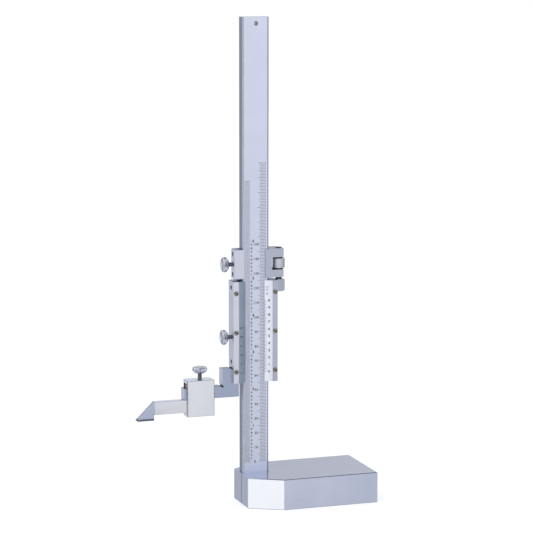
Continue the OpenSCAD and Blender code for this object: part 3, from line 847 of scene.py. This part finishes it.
inkShape = {"proud": 0.012, "sunk": 0.02, "crownInset": 0.2, "crown": 0.002, "curveSteps": 3}
beamScale = {  # X from the beam's middle line, Z from the sole
    "zero": 28.9, "mmEnd": 205, "mmWidth": 0.22, "mmRight": 7.2,
    "mmRows": ((2.8, 0, 1), (2.1, 0, 10), (1.3, 5, 10)),  # left end, first line, step
    "inch": 25.4, "inchStep": 0.025, "inchEnd": 7.6, "inchWidth": 0.145, "inchLeft": -8.2,
    "inchRows": ((1, -4.3), (4, -3.9), (20, -3.5)),  # every so many lines, right end
}
beamDigits = {
    "mm": {"size": 2.35, "middle": 0.35, "last": 150, "spread": 1.15},
    "tenth": {"size": 1.8, "middle": -3.05, "last": 59, "bold": 0.085},
    "inch": {"size": 2.5, "middle": -1.9, "last": 6, "bold": 0.11},
    "zero": {"size": 2.5, "middle": -0.6},
}
plateBevel = {"thin": 0.2, "flat": 3.7, "start": 0.1}
verniers = {  # lengths and places run from the plate's thin edge
    "mm": {"side": 1, "parts": 50, "span": 49, "width": 0.17, "short": 1.7, "long": 2.3,
           "numbers": (*range(10), 0), "size": 2.4, "place": 3.5, "bold": 0.09},
    "inch": {"side": -1, "parts": 25, "span": 31.115, "width": 0.17, "short": 1.7,
             "long": 2.4, "numbers": range(0, 26, 5), "size": 2.0, "place": 3.7,
             "bold": 0.05},
}
vernierNote = {"text": "0.02", "size": 2.3, "place": 2.1, "above": 6.8, "bold": 0.03,
               "spread": 1.5}


def tick(width):  # one line, 1 mm long towards +X
    bpy.ops.mesh.primitive_cube_add(size=mm, location=(0, 0, 0))
    line = bpy.context.object
    thick = inkShape["proud"] + inkShape["sunk"]
    place(line, Matrix.Translation((0.5 * mm, (inkShape["sunk"] - thick / 2) * mm, 0))
          @ Matrix.Diagonal((1, thick, width, 1)))
    edit(line)
    pickFaces(line, lambda at, normal: normal.y < -square)
    bpy.ops.mesh.inset(thickness=width * inkShape["crownInset"] * mm)
    bpy.ops.transform.translate(value=(0, -inkShape["crown"] * mm, 0))
    done()
    return line


def rowOfTicks(width, left, length, z, step, count):
    line = tick(width)
    place(line, Matrix.Translation((left * mm, 0, z * mm)) @ Matrix.Diagonal((length, 1, 1, 1)))
    finishWith(line, "ARRAY", fit_type="FIXED_COUNT", count=count,
               use_relative_offset=False, use_constant_offset=True,
               constant_offset_displace=(0, 0, step * mm))
    return line


def label(text, size, x, z, turn=0.0, bold=0.05, spread=1.0):  # upright, its middle at x and z
    bpy.ops.object.text_add(location=(0, 0, 0))
    word = bpy.context.object
    word.data.body, word.data.size = text, size * mm
    word.data.align_x, word.data.align_y = "CENTER", "CENTER"
    word.data.resolution_u = inkShape["curveSteps"]
    word.data.offset = bold * mm
    word.data.space_character = spread
    word.data.extrude = (inkShape["proud"] + inkShape["sunk"]) / 2 * mm
    activate(word)
    bpy.ops.object.convert(target="MESH")
    middle = (inkShape["sunk"] - inkShape["proud"]) / 2
    place(word, Matrix.Translation((x * mm, middle * mm, z * mm))
          @ Matrix.Rotation(turn, 4, "Y") @ Matrix.Rotation(math.radians(90), 4, "X"))
    across = [point.co.x for point in word.data.vertices]
    upward = [point.co.z for point in word.data.vertices]
    place(word, Matrix.Translation((x * mm - (min(across) + max(across)) / 2, 0,
                                    z * mm - (min(upward) + max(upward)) / 2)))
    tidyMesh(word)
    return word


def inked(pieces, name, matrix, body):
    piece = place(joined(pieces, name), matrix)
    dress(piece, ink)
    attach(piece, body)


def beamLabel(text, kind, height):
    look = beamDigits[kind]
    return label(text, look["size"], look["middle"], beamScale["zero"] + height,
                 bold=look.get("bold", 0.05), spread=look.get("spread", 1.0))


def beamScales():
    s = beamScale
    lines = []
    for left, first, step in s["mmRows"]:
        lines.append(rowOfTicks(s["mmWidth"], left, s["mmRight"] - left, s["zero"] + first,
                                step, (s["mmEnd"] - first) // step + 1))
    for every, right in s["inchRows"]:
        count = math.floor(s["inchEnd"] / s["inchStep"] / every + 1e-6) + 1
        lines.append(rowOfTicks(s["inchWidth"], s["inchLeft"], right - s["inchLeft"],
                                s["zero"], s["inchStep"] * s["inch"] * every, count))
    home = Matrix.Translation((beamMidX, beamLow.y, 0))
    inked(lines, "beam_scale_lines", home, "base")
    digits = [beamLabel("0", "zero", 0)]
    for value in range(10, beamDigits["mm"]["last"] + 1, 10):
        digits.append(beamLabel(str(value), "mm", value))
    for tenth in range(1, beamDigits["tenth"]["last"] + 1):
        if tenth % 10:
            digits.append(beamLabel(str(tenth % 10), "tenth", tenth * s["inch"] / 10))
    for whole in range(1, beamDigits["inch"]["last"] + 1):
        digits.append(beamLabel(str(whole), "inch", whole * s["inch"]))
    inked(digits, "beam_scale_numbers", home, "base")


def bevelPlace(node, side):  # X across the bevel from its thin edge, -Y out of it
    low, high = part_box(node)
    thin, flat = plateBevel["thin"] * mm, plateBevel["flat"] * mm
    across = Vector((high.x - low.x - flat, side * (low.y - high.y + thin), 0)).normalized()
    up = Vector((0, 0, 1))
    edge = Vector((low.x if side > 0 else high.x, high.y - thin, 0))
    turn = Matrix((across, up.cross(across), up)).transposed().to_4x4()
    return Matrix.Translation(edge) @ turn


def vernierScale(unit):
    v, zero = verniers[unit], beamScale["zero"] + faceZ / mm
    side, start, spaces = v["side"], plateBevel["start"], len(v["numbers"]) - 1
    pieces = []
    for length, parts in ((v["short"], v["parts"]), (v["long"], spaces)):
        left = start if side > 0 else -start - length
        pieces.append(rowOfTicks(v["width"], left, length, zero, v["span"] / parts, parts + 1))
    for index, number in enumerate(v["numbers"]):
        pieces.append(label(str(number), v["size"], side * v["place"],
                            zero + index * v["span"] / spaces, bold=v["bold"]))
    if unit == "mm":
        note = vernierNote
        pieces.append(label(note["text"], note["size"], note["place"],
                            zero + v["span"] + note["above"], -math.pi / 2, note["bold"],
                            note["spread"]))
    inked(pieces, f"vernier_{unit}_scale", bevelPlace(f"vernier_plate_{unit}", side), "slider")


beamScales()
for unit in verniers:
    vernierScale(unit)
print("scales engraved")

for name, node in nodes.items():  # the CAD nodes that stay
    if not node.hide_render:
        dress(node, finish[slotOf[name]])

camera = {"at": (-526.56, -1462.54, 400.07), "yaw": 18.876, "pitch": 8.713, "roll": -0.035,
          "focalPixels": 2311.34, "framePixels": 533, "sensor": 36.0, "clip": (0.05, 50)}


def makeCamera():
    data = bpy.data.cameras.new("camera")
    data.sensor_width = camera["sensor"]
    data.lens = camera["focalPixels"] * camera["sensor"] / camera["framePixels"]
    data.clip_start, data.clip_end = camera["clip"]
    eye = bpy.data.objects.new("camera", data)
    scene.collection.objects.link(eye)
    eye.location = Vector(camera["at"]) * mm
    yaw, pitch = math.radians(camera["yaw"]), math.radians(camera["pitch"])
    eye.rotation_euler = (math.pi / 2 - pitch, math.radians(camera["roll"]), -yaw)
    scene.camera = eye


studio = {
    "skyLight": 0.60, "level": 1.14, "least": 0.03,
    "tint": (0.985, 0.99, 1.01), "warm": (1.03, 0.985, 0.88),  # warm in the first lobe
    "lobes": (  # direction, where the change starts, where it is full, how much
        ((-0.66, -0.72, -0.25), 0.93, 0.99, 0.12),   # softbox beside the camera
        ((-0.95, -0.30, -0.1), 0.93, 0.985, -0.85),  # dark gap left of it
        ((0.92, -0.36, 0.0), 0.85, 0.97, -0.62),     # dark side at the right
        ((0.94, 0.36, -0.1), 0.93, 0.99, -0.60),     # and further round
        ((0.74, 0.67, 0.0), 0.90, 0.985, -0.75),     # and behind, on the right
        ((-0.10, 0.99, -0.1), 0.60, 0.97, -0.50),    # behind the object
        ((0.30, -0.30, 0.90), 0.80, 0.96, -0.95),    # unlit ceiling
        ((0.0, -0.6, -0.8), 0.63, 0.84, -0.62),      # down to the bench in front
        ((0.0, 0.3, -1.0), 0.60, 0.98, -0.20),       # under the bench
    ),
    "paper": 0.90, "floorRadius": 3.0, "floorSides": 96, "floorDrop": 0.05, "aim": (0, 0, 0.12),
    "lamps": {"key": {"at": (-1.3, -1.2, 1.9), "power": 6.0, "size": 1.4},
              "fill": {"at": (1.6, -0.9, 1.3), "power": 3.0, "size": 1.6}},
}


def rayKinds(paint):  # what the camera sees straight, and what it sees in metal or glass
    rays = paint.node("ShaderNodeLightPath")
    mirrored = rays.of("Is Glossy Ray").maths("MAXIMUM", rays.of("Is Transmission Ray"))
    return rays.of("Is Camera Ray"), mirrored


def makeWorld():
    scene.world = bpy.data.worlds.new("studio")
    paint = Paint(scene.world)
    seen, mirrored = rayKinds(paint)
    direction = paint.node("ShaderNodeTexCoord").of("Generated")
    strength, lobes = studio["level"], []
    for towards, start, full, amount in studio["lobes"]:
        lobes.append(direction.dot(tuple(Vector(towards).normalized())).step(start, full))
        strength = lobes[-1] * amount + strength

    def glow(colour, level):
        return paint.node("ShaderNodeBackground", None, {"Color": colour, "Strength": level})

    white = (1, 1, 1, 1)
    reflected = glow(paint.blend(lobes[0], studio["tint"], studio["warm"]),
                     strength.maths("MAXIMUM", studio["least"]))
    mixed = paint.node("ShaderNodeMixShader", None,
                       {0: mirrored, 1: glow(white, studio["skyLight"]), 2: reflected})
    mixed = paint.node("ShaderNodeMixShader", None, {0: seen, 1: mixed, 2: glow(white, 1.0)})
    paint.node("ShaderNodeOutputWorld", None, {"Surface": mixed})


def makeFloor():
    bpy.ops.mesh.primitive_circle_add(
        vertices=studio["floorSides"], radius=studio["floorRadius"], fill_type="NGON",
        location=(0, 0, -studio["floorDrop"] * mm))
    floor = named(place(bpy.context.object), "floor")
    paint = Paint(bpy.data.materials.new("floorPaper"))
    seen, mirrored = rayKinds(paint)
    level = studio["paper"]
    paper = paint.node("ShaderNodeBsdfDiffuse", None, {"Color": (level, level, level, 1)})
    missing = 1 - level * studio["skyLight"]  # the far floor comes out just white
    glow = paint.node("ShaderNodeEmission", None, {"Strength": seen * missing})
    lit = paint.node("ShaderNodeAddShader", None, {0: paper, 1: glow})
    clear = paint.node("ShaderNodeBsdfTransparent")
    mixed = paint.node("ShaderNodeMixShader", None, {0: mirrored, 1: lit, 2: clear})
    paint.node("ShaderNodeOutputMaterial", None, {"Surface": mixed})
    dress(floor, paint.owner)


def softLight(name, at, power, size):
    data = bpy.data.lights.new(name, "AREA")
    data.energy, data.shape, data.size = power, "DISK", size
    lamp = bpy.data.objects.new(name, data)
    scene.collection.objects.link(lamp)
    lamp.location = at
    towards = Vector(studio["aim"]) - Vector(at)
    lamp.rotation_euler = towards.to_track_quat("-Z", "Y").to_euler()
    lamp.visible_camera = False
    lamp.visible_glossy = False


makeCamera()
makeWorld()
makeFloor()
for name, lamp in studio["lamps"].items():
    softLight(name, **lamp)
scene.view_settings.view_transform = "Standard"
print("camera and studio made")
